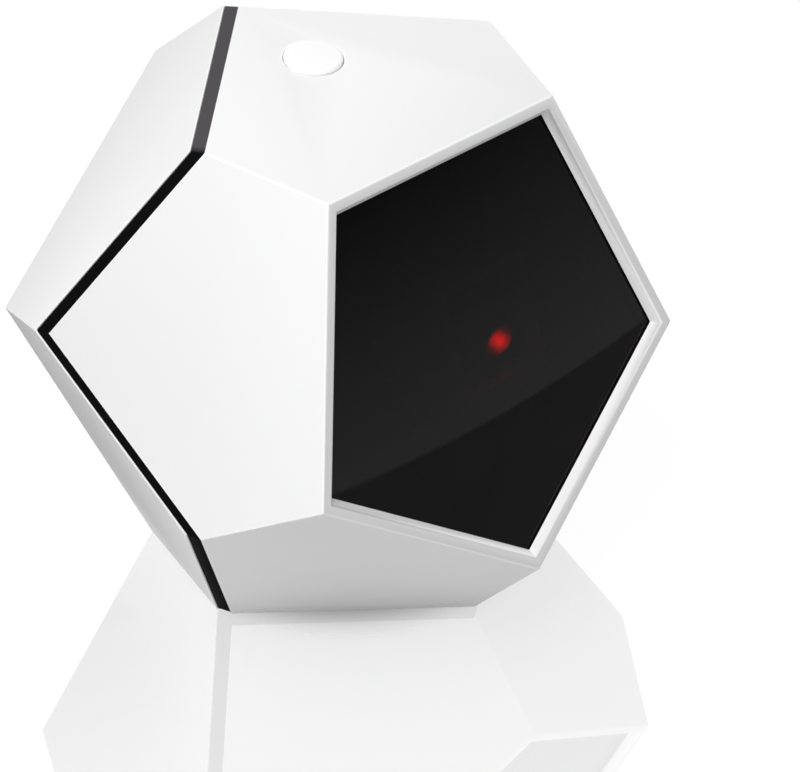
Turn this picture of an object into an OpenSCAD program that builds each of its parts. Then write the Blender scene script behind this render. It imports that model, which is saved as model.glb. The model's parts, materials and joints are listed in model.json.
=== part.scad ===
// Automatic laser toy for cats: a faceted plastic ball with a smoked window on its front,
// a black band round its waist, one round button on top and a battery door at the back.
// Behind the window a small laser is panned and tilted by two geared motors.
//
// Most pieces are drawn in the toy's own axes, x right, y up, z out through the window, with
// the origin in the middle of the window face. stand() then sets the toy on its lower rear face.

/* [Faceted body] */
// Corner radius of the front pentagon
front_r = 44; // [40:0.5:50]
// Lean of the five front side faces away from the window's axis, degrees
front_slope = 24.8; // [22:0.1:27]
// Corner radius of the back pentagon
back_r = 47.6; // [46:0.2:50]
// Lean of the five rear side faces away from the axis, degrees; it also tips the window up
back_slope = 18.5; // [17:0.1:20]
// Front face to back face
body_depth = 77.4; // [75:0.2:82]
// Wall of both shells
wall = 2.4; // [2:0.1:2.8]
// Wall of the flat back, which carries the battery door's hinge
back_wall = 3; // [2.8:0.1:3.6]

/* [Waist band] */
// Width of the black band along the axis
band_w = 4; // [3:0.1:5]
// How far the band lies below the shells' edges
band_recess = 0.3; // [0.2:0.1:0.8]
// Thickness of the band under its outer face
band_t = 4.6; // [4.4:0.1:5.4]
// Lip of the band inside each shell
lip_t = 1.2; // [1:0.1:1.6]
// Length of the lip inside each shell
lip_h = 3; // [2:0.5:5]
// Clearance of the lip inside a shell
lip_gap = 0.15; // [0.1:0.05:0.3]

/* [Window] */
// Corner radius of the frame's opening at the front face
opening_r = 41.8; // [40:0.1:42.4]
// Corner radius of the frame's opening at the window
sight_r = 40.4; // [38:0.1:41]
// Depth of the window's face below the front face
window_set = 1.6; // [1:0.1:2]
// Thickness of the smoked window
window_t = 2; // [1.5:0.1:2.5]
// Corner radius of the window
window_r = 42.1; // [41.6:0.1:42.4]
// Thickness of the tape that holds the window to the frame's lip
tape_t = 0.4; // [0.3:0.1:0.6]

/* [Button] */
// Diameter of the button
button_d = 10.5; // [9:0.5:13]
// How far the button stands above the top face
button_rise = 0.6; // [0.4:0.1:1]
// Distance of the button behind the front face
button_back = 30; // [28:0.5:32]
// Travel of the button
button_travel = 0.4; // [0.3:0.05:0.5]
// Clearance of the button in its hole
button_gap = 0.1; // [0.06:0.02:0.2]

/* [Battery bay] */
// Diameter of a cell
cell_d = 14.5; // [14:0.1:14.5]
// Length of a cell with its cap
cell_l = 50.5; // [49:0.1:50.5]
// Distance from cell to cell
cell_pitch = 15; // [14.8:0.1:15.4]
// Room for a spring at the end of a cell
spring_room = 4; // [3.5:0.1:4.5]
// How far the bay lies below the middle of the back
bay_drop = 1.2; // [0.6:0.1:1.8]
// Thickness of the door
door_t = 2.2; // [2:0.1:2.4]
// Ledge round the bay that the door closes on
ledge = 1.4; // [1.2:0.1:1.6]
// Gap round the door
door_gap = 0.25; // [0.2:0.05:0.4]

/* [Laser head] */
// Laser head's pivot to the right of the middle
head_x = 9.3; // [7:0.1:10]
// Laser head's pivot below the middle
head_drop = 2.9; // [2:0.1:4]
// Laser head's pivot behind the front face
head_back = 13.5; // [13:0.1:15]
// How far the laser points down from the window's axis at rest, degrees
aim_down = 23; // [15:1:30]
// Outer diameter of the laser's barrel
barrel_d = 8; // [7:0.5:9]
// Length of the laser's barrel
barrel_l = 12; // [10:0.5:12]
// Height of the lens's dome
lens_dome = 2.4; // [1.2:0.1:2.6]
// Radius of the pivot pins
pin_r = 1.5; // [1.2:0.1:1.6]
// Clearance of a pivot pin in its bore
pin_gap = 0.05; // [0.03:0.01:0.08]

/* [Gears] */
// Module of all gears
gear_m = 0.5; // [0.45:0.05:0.5]
// Teeth of a motor pinion
pinion_n = 12; // [12:1:14]
// Teeth that the pan sector would have on its full circle
pan_n = 48; // [44:2:50]
// Teeth that the tilt sector would have on its full circle
tilt_n = 30; // [28:2:32]
// Thickness of a gear
gear_t = 1.8; // [1.5:0.1:2]

/* [Hidden] */
$fn = 48;

white = [0.95, 0.95, 0.95];
black = [0.05, 0.05, 0.055];
board_green = [0.05, 0.3, 0.16];
steel = [0.72, 0.72, 0.74];
brass = [0.8, 0.62, 0.3];
eps = 0.01;
cos36 = cos(36);
front_tan = tan(front_slope);
back_tan = tan(back_slope);

// The body is bounded by five front side planes, five rear side planes and two flats. Each
// value below is for a skin that lies `inset` inside the outer one, before the two halves are
// drawn apart by the band's width.
closed_depth = body_depth - band_w;
back_plane0 = back_r * cos36 + closed_depth * back_tan;
function front_plane(inset) = front_r * cos36 - inset / cos(front_slope);
function back_plane(inset) = back_plane0 - inset / cos(back_slope);
function ring_a_z(inset) =
    (front_plane(inset) / cos36 - back_plane(inset)) / (back_tan + front_tan / cos36);
function ring_a_r(inset) = back_plane(inset) + ring_a_z(inset) * back_tan;
function ring_b_z(inset) =
    (front_plane(inset) - back_plane(inset) / cos36) / (front_tan + back_tan / cos36);
function ring_b_r(inset) = (back_plane(inset) + ring_b_z(inset) * back_tan) / cos36;
function front_corner_r(inset) = (front_plane(inset) + inset * front_tan) / cos36;
function back_corner_r(inset, flat) =
    (back_plane(inset) - (closed_depth - flat) * back_tan) / cos36;
function ring(r, z, phase) =
    [for (k = [0:4]) [r * cos(phase + 72 * k), r * sin(phase + 72 * k), z]];
down = -90;
down_right = -54;
fan_z = (ring_a_z(0) + ring_b_z(0)) / 2;

// Where the outer faces of the front and back lie along the axis
back_z = -body_depth;
back_inner_z = back_z + back_wall;
top_y_at_button = front_plane(0) + button_back * front_tan;

// Standing on the lower rear face: height of the window's middle, and the body's reach
stand_h = back_r * cos36 * cos(back_slope) + body_depth * sin(back_slope);
reach_front = front_r * sin(back_slope);
reach_back = back_r * sin(back_slope) + body_depth * cos(back_slope);

// Case screws stand in the corners of the back pentagon, apart from the top one
case_screw_r = back_r - 7.1;
case_screw_angles = [18, 162, 234, 306];
well_r = 2.9;
boss_r = 4.3;
case_thread_r = 1.3;
case_clear_r = 1.5;
case_head_r = 2.6;
case_head_h = 1.8;
boss_meet_z = back_z + 26.5;
well_floor_z = boss_meet_z - 6.5;
case_bite = 7;

// Small screws: shank, its hole and its head
small_r = 0.9;
small_head_r = 1.8;
small_head_h = 1;

// Battery bay
bay_y = -bay_drop;
contact_t = 0.5;
bay_half_x = cell_l / 2 + spring_room / 2 + contact_t;
bay_half_y = cell_pitch + cell_d / 2 + 0.4;
door_half_x = bay_half_x + ledge;
door_half_y = bay_half_y + ledge;
door_inner_z = back_z + door_t;
hinge_y = bay_y - door_half_y + door_t / 2;
hinge_z = back_z + door_t / 2;
hinge_pin_r = 0.7;
hinge_pin_l = 1.2;
hinge_gap = 0.06;
tray_t = 1.5;
cell_z = door_inner_z + 0.4 + cell_d / 2;
tray_floor_z = cell_z + cell_d / 2 + 0.3;
tray_back_z = tray_floor_z + tray_t;
ear_y = bay_half_y + tray_t + 2.6;
ear_x = 10;
ear_r = 3;
ear_z = back_inner_z + 6.4;
ear_spots = [for (sx = [-1, 1]) for (sy = [-1, 1]) [sx * ear_x, bay_y + sy * ear_y]];
tab_y = 6;
tab_w = 3;

// Mechanism plate and its posts
plate_t = 2;
head_to_plate = 29.5;
plate_front_z = -head_back - head_to_plate;
plate_z = plate_front_z - plate_t;
plate_r = back_r - 3.1;
post_r = 2.9;
post_gap = 0.35;
side_post_x = bay_half_x + tray_t + post_r + post_gap;
top_post_x = 17;
top_post_y = bay_half_y + tray_t + post_r + 2;
foot_post_y = top_post_y + 3;
post_spots = [[top_post_x, top_post_y], [-top_post_x, top_post_y], [side_post_x, -4], [-side_post_x, -4],
    [0, -foot_post_y]];

// Laser head, measured from its pivot
yoke_half_x = 10.3;
yoke_half_y = 11.4;
yoke_t = 1.8;
yoke_back = 6;
yoke_front = 4;
cradle_r = barrel_d / 2 + 1.6;
cradle_l = 8;
pan_dist = gear_m * (pan_n + pinion_n) / 2;
tilt_dist = gear_m * (tilt_n + pinion_n) / 2;
hub_gap = 1.4;
pan_gear_y = -yoke_half_y - hub_gap - gear_t;
shelf_top_y = pan_gear_y - hub_gap;
shelf_t = 2;
shelf_y = shelf_top_y - shelf_t;
arm_y = yoke_half_y + 0.6;
arm_t = 2;
base_z = plate_front_z + head_back;
base_t = 2;
base_half_x = 14;
base_y = -4.5;
pan_motor_r = 7.5;
pan_motor_l = 12;
motor_nose_r = 2;
motor_screw_x = 5.6;
motor_tail_x = 3.5;
tilt_motor_r = 5;
tilt_motor_l = 8;
cup_t = 1;
shaft_r = 0.75;
tilt_gear_x = -yoke_half_x + yoke_t + 0.3;
base_spots = [[-11, -14], [11, -14], [-11, -8], [11, -8]];
arm_spots = [[-4.5, 7], [4.5, 7]];

// Boards
board_t = 1.2;
main_board_w = 30;
main_board_h = 11.5;
main_board_y = 31.2;
standoff_h = 1.6;
main_board_z = plate_front_z + standoff_h;
board_face_z = main_board_z + board_t;
main_board_spots = [[-12, main_board_y + 2], [12, main_board_y + 2]];
plug_x = [-6, 0, 6.5];
plug_w = 5;
plug_h = 4;
plug_y = main_board_y - main_board_h / 2 + 0.5;
plug_top_y = plug_y + 4.6;
button_room = 8;
button_board_z = -wall - button_room;
button_screw_x = 11;
button_post_r = 2.4;
switch_h = 3.4;
stem_z = button_board_z + switch_h + 0.8;
wire_r = 0.55;
lead_slot_y = main_board_y - main_board_h / 2 - 2;
lead_under_plate = 1.5;

module stand() {
    translate([0, (reach_front - reach_back) / 2, stand_h]) rotate([90 - back_slope, 0, 0]) children();
}
module at_head() { translate([head_x, -head_drop, -head_back]) children(); }
module aimed() { at_head() rotate([aim_down, 0, 0]) children(); }
module at_button() {
    translate([0, top_y_at_button, -button_back]) rotate([front_slope - 90, 0, 0]) children();
}
module along_x(x0, x1, r) { translate([x0, 0, 0]) rotate([0, 90, 0]) cylinder(h = x1 - x0, r = r); }
module along_y(y0, y1, r) { translate([0, y0, 0]) rotate([-90, 0, 0]) cylinder(h = y1 - y0, r = r); }
module box(lo, hi) { translate(lo) cube(hi - lo); }
module at_each(spots, z = 0) { for (s = spots) translate([s[0], s[1], z]) children(); }
module pentagon(r, z0, z1) {
    translate([0, 0, z0]) rotate([0, 0, down]) cylinder(h = z1 - z0, r = r, $fn = 5);
}

// ---- faceted skins -------------------------------------------------------------------------

// Points 0-4 front corners, 5-9 ring a, 10-14 ring b, 15-19 back corners
function body_points(inset, flat) = concat(
    ring(front_corner_r(inset), -inset, down),
    ring(ring_a_r(inset), ring_a_z(inset), down),
    ring(ring_b_r(inset), ring_b_z(inset), down_right),
    ring(back_corner_r(inset, flat), flat - closed_depth, down_right));
front_faces = concat([[4, 3, 2, 1, 0]],
    [for (k = [0:4]) [k, (k + 1) % 5, 5 + (k + 1) % 5, 10 + k, 5 + k]]);
rear_faces = concat([[15, 16, 17, 18, 19]],
    [for (k = [0:4]) [5 + k, 10 + k, 15 + k, 15 + (k + 4) % 5, 10 + (k + 4) % 5]]);

module body(inset, flat) {
    polyhedron(points = body_points(inset, flat), faces = concat(front_faces, rear_faces));
}
module front_half() {
    points = concat([for (i = [0:14]) body_points(0, 0)[i]], [[0, 0, fan_z]]);
    polyhedron(points = points, faces = concat(front_faces,
        [for (k = [0:4]) [15, 5 + k, 10 + k]],
        [for (k = [0:4]) [15, 10 + k, 5 + (k + 1) % 5]]));
}
module rear_half() {
    points = concat(body_points(0, 0), [[0, 0, fan_z]]);
    polyhedron(points = [for (i = [5:20]) points[i]], faces = concat(
        [for (f = rear_faces) [for (i = f) i - 5]],
        [for (k = [0:4]) [15, 5 + k, k]],
        [for (k = [0:4]) [15, (k + 1) % 5, 5 + k]]));
}

// The parting surface is a fan of ten triangles from a point on the axis to the corners of ring
// a (c = 0) and ring b (c = 1) in turn. In the radial plane through a corner, a face that has a
// ridge there lies at its plane's distance over cos36, and one that has its middle there at the
// distance itself.
function corner_r(c) = c == 0 ? ring_a_r(0) : ring_b_r(0);
function corner_z(c) = c == 0 ? ring_a_z(0) : ring_b_z(0);
function fan_lean(c) = (corner_z(c) - fan_z) / corner_r(c);
function on_fan(c, r) = [r, fan_z + fan_lean(c) * r];
function front_skin(c, inset, z) = [(front_plane(inset) - z * front_tan) / (c == 0 ? cos36 : 1), z];
function back_skin(c, inset, z) = [(back_plane(inset) + z * back_tan) / (c == 0 ? 1 : cos36), z];
function front_root(c, inset) = on_fan(c, (front_plane(inset) - fan_z * front_tan)
    / ((c == 0 ? cos36 : 1) + fan_lean(c) * front_tan));
function back_root(c, inset) = on_fan(c, (back_plane(inset) + fan_z * back_tan)
    / ((c == 0 ? 1 : cos36) - fan_lean(c) * back_tan));
function back_by(dz, p) = [for (q = p) [q[0], q[1] - dz]];

// ---- gears ---------------------------------------------------------------------------------

pressure = 25;
backlash = 0.12;
addendum = 0.9;
dedendum = 1.2;
function inv(a) = tan(a) - a * PI / 180;
function rad2deg(a) = a * 180 / PI;
// Half angle of a tooth at radius r
function half_tooth(n, r) =
    let(rp = gear_m * n / 2, rb = rp * cos(pressure))
    rad2deg(PI / (2 * n) - backlash / (4 * rp) + inv(pressure) - inv(acos(min(1, rb / max(r, rb)))));
// Outline of one tooth, standing on the root circle, centred on angle a
function tooth(n, a) =
    let(rp = gear_m * n / 2, rb = rp * cos(pressure), root = rp - dedendum * gear_m,
        tip = rp + addendum * gear_m, from = max(rb, root), steps = 5,
        rs = concat(root < rb ? [root] : [], [for (i = [0:steps]) from + (tip - from) * i / steps]))
    concat([for (r = rs) let(b = a - half_tooth(n, r)) [r * cos(b), r * sin(b)]],
        [for (i = [len(rs) - 1:-1:0]) let(r = rs[i], b = a + half_tooth(n, r)) [r * cos(b), r * sin(b)]]);
// Teeth number -half..half of a gear with n on its full circle, tooth 0 centred on angle 0
module sector(n, half, hub_r, bore_r, t) {
    root = gear_m * n / 2 - dedendum * gear_m;
    arc = concat([[0, 0]], [for (k = [-half:half]) each tooth(n, k * 360 / n)]);
    difference() {
        union() {
            linear_extrude(height = t) polygon(arc);
            cylinder(h = t, r = hub_r);
        }
        translate([0, 0, -1]) cylinder(h = t + 2, r = bore_r);
    }
}
// A whole pinion with a gap between teeth centred on angle 0
module pinion(t) {
    outline = [for (k = [0:pinion_n - 1]) each tooth(pinion_n, (k + 0.5) * 360 / pinion_n)];
    difference() {
        linear_extrude(height = t) polygon(outline);
        translate([0, 0, -1]) cylinder(h = t + 2, r = shaft_r);
    }
}

// ---- fasteners and leads -------------------------------------------------------------------

// Pan-head screw with a cross slot: head on +z of the origin, shank down -z
module screw(head_r, head_h, shank_r, shank_l) {
    difference() {
        union() {
            cylinder(h = head_h, r = head_r);
            translate([0, 0, -shank_l]) cylinder(h = shank_l + eps, r = shank_r);
        }
        for (a = [0, 90]) rotate([0, 0, a])
            box([-head_r * 0.6, -0.25, head_h * 0.5], [head_r * 0.6, 0.25, head_h + 1]);
    }
}
module small_screw(shank_l) { screw(small_head_r, small_head_h, small_r, shank_l); }
module case_spots() {
    for (a = case_screw_angles) translate([case_screw_r * cos(a), case_screw_r * sin(a), 0]) children();
}
// Insulated lead: a tube of eight sides through a list of points, mitred at each bend
lead_sides = 8;
function unit(v) = v / norm(v);
function lead_start(p) =
    let(d = unit(p[1] - p[0]), u = unit(cross(d, abs(d[0]) < 0.9 ? [1, 0, 0] : [0, 1, 0])), v = cross(d, u))
    [for (k = [0:lead_sides - 1]) let(a = k * 360 / lead_sides) p[0] + wire_r * (cos(a) * u + sin(a) * v)];
// Carries ring i - 1 along its run to the mitre plane at point i
function lead_rings(p, i, rings) = i == len(p) ? rings :
    let(d = unit(p[i] - p[i - 1]), out = i + 1 < len(p) ? unit(p[i + 1] - p[i]) : d, n = unit(d + out))
    lead_rings(p, i + 1, concat(rings, [[for (q = rings[i - 1]) q + d * ((p[i] - q) * n) / (d * n)]]));
module lead(p) {
    rings = lead_rings(p, 1, [lead_start(p)]);
    n = lead_sides;
    sides = [for (i = [0:len(p) - 2]) for (k = [0:n - 1])
        each [[i * n + k, i * n + (k + 1) % n, (i + 1) * n + k],
            [i * n + (k + 1) % n, (i + 1) * n + (k + 1) % n, (i + 1) * n + k]]];
    polyhedron(points = [for (r = rings) each r], faces = concat(sides,
        [[for (k = [n - 1:-1:0]) k]], [[for (k = [0:n - 1]) (len(p) - 1) * n + k]]));
}

// ---- case ----------------------------------------------------------------------------------

// The front bosses run back past the parting surface, so only the front planes trim them
module front_frustum(inset) {
    depth = body_depth - 6;
    rotate([0, 0, down]) mirror([0, 0, 1])
        cylinder(h = depth, r1 = front_plane(inset) / cos36,
            r2 = (front_plane(inset) + depth * front_tan) / cos36, $fn = 5);
}
module front_shell() {
    boss_front_z = -window_set - tape_t - window_t - 2;
    color(white) stand() difference() {
        union() {
            difference() {
                front_half();
                body(wall, wall);
                translate([0, 0, -window_set]) rotate([0, 0, down])
                    cylinder(h = window_set + eps, r1 = sight_r, r2 = opening_r, $fn = 5);
                pentagon(sight_r, -wall - 1, -window_set + eps);
                pentagon(window_r + 0.15, boss_front_z, -window_set);
            }
            intersection() {
                front_frustum(wall / 2);
                case_spots() translate([0, 0, boss_meet_z])
                    cylinder(h = boss_front_z - boss_meet_z, r = boss_r);
            }
            at_button() {
                translate([0, 0, -wall - 1.2]) difference() {
                    cylinder(h = 1.2 + eps, r = button_d / 2 + 3.4);
                    translate([0, 0, -1]) cylinder(h = 4, r = button_d / 2 + 2.2);
                }
                for (s = [-1, 1]) translate([s * button_screw_x, 0, button_board_z])
                    cylinder(h = button_room + 0.2, r = button_post_r);
            }
        }
        at_button() {
            translate([0, 0, -wall - 1]) cylinder(h = wall + 3, r = button_d / 2 + button_gap);
            for (s = [-1, 1]) translate([s * button_screw_x, 0, button_board_z - 1])
                cylinder(h = 6, r = small_r);
        }
        case_spots() translate([0, 0, boss_meet_z - 1]) cylinder(h = case_bite + 2, r = case_thread_r);
    }
}

module rear_shell() {
    color(white) stand() difference() {
        union() {
            translate([0, 0, -band_w]) difference() {
                rear_half();
                body(wall, back_wall);
            }
            case_spots() translate([0, 0, back_z + 1]) cylinder(h = boss_meet_z - back_z - 1, r = boss_r);
            at_each(ear_spots, back_z + 1) cylinder(h = ear_z - back_z - 1, r = 2.4);
            at_each(post_spots, back_z + 1) cylinder(h = plate_z - back_z - 1, r = post_r);
        }
        // pocket of the door, with a scoop for the finger at its upper edge
        translate([0, bay_y, 0]) {
            box([-door_half_x - door_gap, -door_half_y - door_gap, back_z - 1],
                [door_half_x + door_gap, door_half_y + door_gap, door_inner_z + 0.1]);
            box([-bay_half_x, -bay_half_y, back_z - 1], [bay_half_x, bay_half_y, back_inner_z + 1]);
            translate([0, door_half_y, back_z]) scale([1, 0.5, 0.2]) sphere(r = 7);
        }
        translate([0, hinge_y, hinge_z]) for (s = [-1, 1]) scale([s, 1, 1])
            along_x(door_half_x, door_half_x + door_gap + hinge_pin_l + 0.2, hinge_pin_r + hinge_gap);
        case_spots() {
            translate([0, 0, back_z - 1]) cylinder(h = well_floor_z - back_z + 1, r = well_r);
            translate([0, 0, back_z]) cylinder(h = boss_meet_z - back_z + 1, r = case_clear_r);
        }
        at_each(ear_spots, ear_z - 4.5) cylinder(h = 5, r = small_r);
        at_each(post_spots, plate_z - 6) cylinder(h = 7, r = small_r);
    }
}

// Section of the band through a corner: its flat outer face, and a lip inside each shell
function band_section(c) =
    let(in_a = wall + lip_gap, in_b = in_a + lip_t, front = front_root(c, in_a), back = back_root(c, in_a),
        outer = on_fan(c, corner_r(c) - band_recess / cos(18)),
        inner = on_fan(c, corner_r(c) - (band_recess + band_t) / cos(18)))
    concat([outer, front, front_skin(c, in_a, front[1] + lip_h), front_skin(c, in_b, front[1] + lip_h),
            front_root(c, in_b), inner],
        back_by(band_w, [inner, back_root(c, in_b), back_skin(c, in_b, back[1] - lip_h),
            back_skin(c, in_a, back[1] - lip_h), back, outer]));
module mid_ring() {
    sections = [band_section(0), band_section(1)];
    n = len(sections[0]);
    points = [for (i = [0:9]) let(a = down + 36 * i)
        for (q = sections[i % 2]) [q[0] * cos(a), q[0] * sin(a), q[1]]];
    faces = [for (i = [0:9]) for (k = [0:n - 1]) let(i2 = (i + 1) % 10, k2 = (k + 1) % n)
        each [[i * n + k, i * n + k2, i2 * n + k], [i2 * n + k, i * n + k2, i2 * n + k2]]];
    color(black) stand() polyhedron(points = points, faces = faces);
}

module window() {
    color([0.06, 0.05, 0.06]) stand()
        pentagon(window_r, -window_set - tape_t - window_t, -window_set - tape_t);
}
module window_tape() {
    color("dimgray") stand() difference() {
        pentagon(window_r, -window_set - tape_t, -window_set);
        pentagon(sight_r + 0.3, -window_set - tape_t - 1, -window_set + 1);
    }
}

module case_screws() {
    color(steel) stand() case_spots() translate([0, 0, well_floor_z]) mirror([0, 0, 1])
        screw(case_head_r, case_head_h, case_thread_r, boss_meet_z - well_floor_z + case_bite);
}

// ---- button --------------------------------------------------------------------------------

module button_cap() {
    r = button_d / 2;
    edge = 0.45;
    flange_top = -wall - 0.1;
    crown = [for (a = [0:15:90]) [r - edge + edge * cos(a), button_rise - edge + edge * sin(a)]];
    profile = concat([[0, stem_z], [1.6, stem_z], [1.6, flange_top - 1], [r + 1.4, flange_top - 1],
        [r + 1.4, flange_top], [r, flange_top]], crown, [[0, button_rise]]);
    color("white") stand() at_button() rotate_extrude() polygon(profile);
}
module switch_plunger() {
    color(black) stand() at_button() translate([0, 0, stem_z - 2.5]) cylinder(h = 2.5, r = 1.7);
}
module tact_switch() {
    color([0.3, 0.3, 0.32]) stand() at_button() difference() {
        box([-3, -3, button_board_z], [3, 3, button_board_z + switch_h]);
        translate([0, 0, stem_z - 2.5 - button_travel - 0.1]) cylinder(h = 5, r = 1.8);
    }
}
module button_board() {
    color(board_green) stand() at_button() difference() {
        box([-13.5, -5, button_board_z - board_t], [13.5, 5, button_board_z]);
        for (s = [-1, 1]) translate([s * button_screw_x, 0, button_board_z - 5]) cylinder(h = 9, r = small_r);
    }
}
module button_board_screws() {
    color(steel) stand() at_button() for (s = [-1, 1])
        translate([s * button_screw_x, 0, button_board_z - board_t]) mirror([0, 0, 1]) small_screw(5);
}

// ---- batteries -----------------------------------------------------------------------------

module battery_door() {
    color(white) stand() difference() {
        union() {
            box([-door_half_x, hinge_y, back_z], [door_half_x, bay_y + door_half_y, door_inner_z]);
            translate([0, hinge_y, hinge_z]) {
                along_x(-door_half_x, door_half_x, door_t / 2);
                pin_reach = door_half_x + door_gap + hinge_pin_l;
                along_x(-pin_reach, pin_reach, hinge_pin_r);
            }
        }
        // grip ribs below the finger scoop
        for (k = [1:4]) box([-8, bay_y + door_half_y - 3 - 2 * k, back_z - 1],
            [8, bay_y + door_half_y - 2 - 2 * k, back_z + 0.5]);
    }
}
module battery_tray() {
    x = bay_half_x + tray_t;
    y = bay_half_y + tray_t;
    color(white) stand() difference() {
        union() {
            // the tray's corners are trimmed where they would reach the case's walls
            intersection() {
                translate([0, bay_y, 0]) box([-x, -y, back_inner_z], [x, y, tray_back_z]);
                translate([0, 0, -band_w]) body(wall + 0.3, back_wall - 1);
            }
            at_each(ear_spots, ear_z) cylinder(h = tray_t, r = ear_r);
        }
        translate([0, bay_y, 0])
            box([-bay_half_x, -bay_half_y, back_inner_z - 1], [bay_half_x, bay_half_y, tray_floor_z]);
        at_each(ear_spots, ear_z - 1) cylinder(h = tray_t + 2, r = small_r);
        for (s = [-1, 1]) translate([s * (bay_half_x - contact_t / 2), tab_y, tray_floor_z - 1])
            box([-contact_t, -tab_w / 2 - 0.2, 0], [contact_t, tab_w / 2 + 0.2, 5]);
    }
}
module tray_screws() { color(steel) stand() at_each(ear_spots, ear_z + tray_t) small_screw(5.5); }

// A round cell lying along x, with its cap on the side s
module cell(k, s) {
    cap_l = 1;
    cap_end = bay_half_x - contact_t;
    color([0.35, 0.37, 0.4]) stand() translate([0, bay_y + k * cell_pitch, cell_z]) scale([s, 1, 1]) {
        along_x(cap_end - cell_l, cap_end - cap_l, cell_d / 2);
        along_x(cap_end - cap_l, cap_end, 2.75);
    }
}
module cell_upper() { cell(1, 1); }
module cell_middle() { cell(0, -1); }
module cell_lower() { cell(-1, 1); }
module cell_springs() {
    spring_r = 3.2;
    color(steel) stand() for (k = [-1:1]) translate([0, bay_y + k * cell_pitch, cell_z])
        scale([k == 0 ? -1 : 1, 1, 1]) difference() {
            along_x(contact_t - bay_half_x, bay_half_x - contact_t - cell_l, spring_r);
            along_x(-bay_half_x, bay_half_x - cell_l, spring_r - 0.8);
        }
}
module cell_contacts() {
    strip_x = bay_half_x - contact_t;
    strip_y = bay_half_y - 1;
    color(steel) stand() for (s = [-1, 1]) scale([s, 1, 1]) {
        box([strip_x, bay_y - strip_y, cell_z - 5], [bay_half_x, bay_y + strip_y, cell_z + 5]);
        box([strip_x, tab_y - tab_w / 2, cell_z + 4], [bay_half_x, tab_y + tab_w / 2, tray_back_z + 2]);
    }
}

// ---- mechanism plate and boards ------------------------------------------------------------

module mechanism_plate() {
    color("dimgray") stand() difference() {
        union() {
            rotate([0, 0, 180]) pentagon(plate_r, plate_z, plate_front_z);
            at_each(main_board_spots, plate_front_z) cylinder(h = standoff_h, r = 2.2);
        }
        case_spots() translate([0, 0, plate_z - 1]) cylinder(h = plate_t + 2, r = boss_r + 0.6);
        at_each(post_spots, plate_z - 1) cylinder(h = plate_t + 2, r = small_r);
        at_each(main_board_spots, plate_z + 0.5) cylinder(h = plate_t + standoff_h, r = small_r);
        at_head() at_each(concat(base_spots, arm_spots), base_z - plate_t - 1)
            cylinder(h = plate_t + 2, r = small_r);
        // way through for the battery leads
        translate([plug_x[0], lead_slot_y, 0]) box([-3, -2, plate_z - 1], [3, 2, plate_front_z + 1]);
    }
}
module plate_screws() { color(steel) stand() at_each(post_spots, plate_front_z) small_screw(plate_t + 5); }

module main_board() {
    y0 = main_board_y - main_board_h / 2;
    color(board_green) stand() difference() {
        box([-main_board_w / 2, y0, main_board_z], [main_board_w / 2, y0 + main_board_h, board_face_z]);
        at_each(main_board_spots, main_board_z - 1) cylinder(h = board_t + 2, r = small_r);
    }
}
module main_board_screws() {
    color(steel) stand() at_each(main_board_spots, board_face_z) small_screw(board_t + standoff_h + 1);
}
module controller_chip() {
    color(black) stand() translate([0, main_board_y + 3, board_face_z]) {
        box([-5, -1.9, 0.2], [5, 1.9, 1.5]);
        for (k = [-3:3]) box([k * 1.27 - 0.2, -2.7, 0], [k * 1.27 + 0.2, 2.7, 0.4]);
    }
}
module board_plugs() {
    color([0.92, 0.9, 0.84]) stand() for (x = plug_x)
        box([x - plug_w / 2, plug_y, board_face_z], [x + plug_w / 2, plug_top_y, board_face_z + plug_h]);
}

// ---- laser head ----------------------------------------------------------------------------

module gimbal_base() {
    color("dimgray") stand() at_head() difference() {
        union() {
            box([-base_half_x, shelf_y, base_z], [base_half_x, base_y, base_z + base_t]);
            box([-pan_motor_r - 1.5, shelf_y, base_z], [pan_motor_r + 1.5, shelf_top_y, yoke_front]);
        }
        along_y(shelf_y - 1, shelf_top_y + 1, pin_r + pin_gap);
        translate([0, 0, -pan_dist]) {
            along_y(shelf_y - 1, shelf_top_y + 1, motor_nose_r + 0.1);
            for (s = [-1, 1]) translate([s * motor_screw_x, 0, 0])
                along_y(shelf_y - 1, shelf_top_y + 1, small_r);
        }
        at_each(base_spots, base_z - 1) cylinder(h = base_t + 2, r = small_r);
    }
}
module gimbal_top_arm() {
    color("dimgray") stand() at_head() difference() {
        union() {
            box([-7.5, 4, base_z], [7.5, arm_y + arm_t, base_z + base_t]);
            box([-4, arm_y, base_z], [4, arm_y + arm_t, 0]);
            along_y(arm_y, arm_y + arm_t, 4);
        }
        along_y(arm_y - 1, arm_y + arm_t + 1, pin_r + pin_gap);
        at_each(arm_spots, base_z - 1) cylinder(h = base_t + 2, r = small_r);
    }
}
module gimbal_base_screws() {
    color(steel) stand() at_head()
        at_each(concat(base_spots, arm_spots), base_z + base_t) small_screw(base_t + plate_t);
}
module pan_motor() {
    color(steel) stand() at_head() translate([0, 0, -pan_dist]) difference() {
        union() {
            along_y(shelf_y - pan_motor_l, shelf_y, pan_motor_r);
            along_y(shelf_y - 1, shelf_top_y - 0.3, motor_nose_r);
            for (s = [-1, 1]) translate([s * motor_tail_x, 0, 0])
                along_y(shelf_y - pan_motor_l - 1.5, shelf_y - pan_motor_l + 1, 0.6);
        }
        along_y(shelf_y - 6, shelf_top_y + 1, shaft_r + pin_gap);
        for (s = [-1, 1]) translate([s * motor_screw_x, 0, 0]) along_y(shelf_y - 3, shelf_y + 1, small_r);
    }
}
module pan_motor_screws() {
    color(steel) stand() at_head() for (s = [-1, 1]) translate([s * motor_screw_x, shelf_top_y, -pan_dist])
        rotate([-90, 0, 0]) screw(small_head_r, 0.7, small_r, shelf_t + 2);
}
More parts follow.
